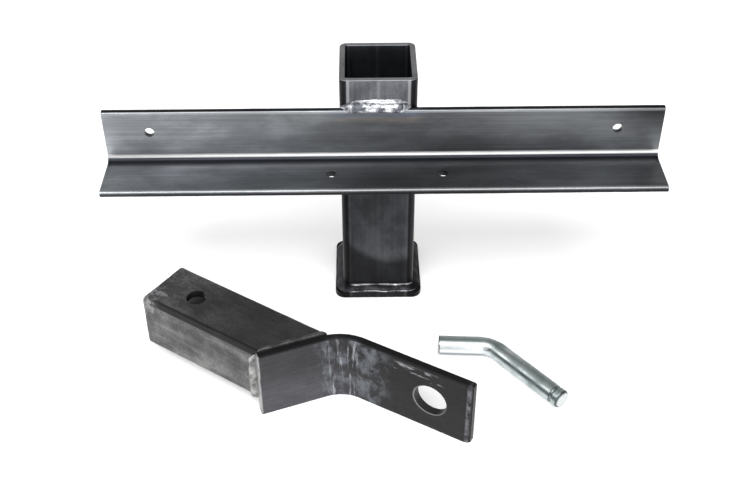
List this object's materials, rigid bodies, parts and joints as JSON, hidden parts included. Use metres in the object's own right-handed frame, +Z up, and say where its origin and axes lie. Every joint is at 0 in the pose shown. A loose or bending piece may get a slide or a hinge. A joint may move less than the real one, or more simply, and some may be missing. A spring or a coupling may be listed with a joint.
{
  "type": "receiver hitch with ball mount",
  "caption": "Square receiver tube welded to a cross angle with bolt holes, laid out with its hollow-shank ball mount and a bent hitch pin, all bare dark steel.",
  "frame": {"origin": "middle of the footprint of the whole laid-out set, on the floor it stands on", "axes": "+X along the cross angle, to the right seen from the front; +Y to the rear, from the two loose pieces towards the receiver; +Z up along the receiver tube, away from its mouth"},
  "size_m": [0.4572, 0.2566, 0.2225],
  "materials": {
    "tube_steel": "hot-rolled tube with mill scale, lightly oiled",
    "angle_steel": "hot-rolled angle with mill scale, streaked along its length",
    "collar_steel": "hot-rolled bar with mill scale",
    "weld_metal": "bright rippled weld bead with blue and straw heat tint",
    "shank_steel": "hot-rolled tube, mottled scale with scuffed corners",
    "strap_steel": "hot-rolled flat, scale cracked to bright metal at the bend",
    "mount_weld_metal": "small weld bead",
    "pin_zinc": "clear zinc plating"
  },
  "bodies": {
    "receiver": {"receiver_tube": "tube_steel", "cross_angle": "angle_steel", "mouth_collar": "collar_steel", "weld_collar": "weld_metal", "weld_angle_top": "weld_metal", "weld_angle_heel": "weld_metal", "weld_angle_left": "weld_metal", "weld_angle_right": "weld_metal"},
    "ball_mount": {"shank_tube": "shank_steel", "tongue_strap": "strap_steel", "weld_shank_top": "mount_weld_metal", "weld_shank_bottom": "mount_weld_metal", "weld_shank_front": "mount_weld_metal", "weld_shank_back": "mount_weld_metal"},
    "pin": {"hitch_pin": "pin_zinc"}
  },
  "joints": [
    {"name": "ball_mount_lift", "type": "slide", "parent": "receiver", "child": "ball_mount", "axis": [0, -0.8, 0.6], "range_m": [0, 0.3]},
    {"name": "hitch_pin_lift", "type": "slide", "parent": "receiver", "child": "pin", "axis": [0, 0, 1], "range_m": [0, 0.25]}
  ]
}
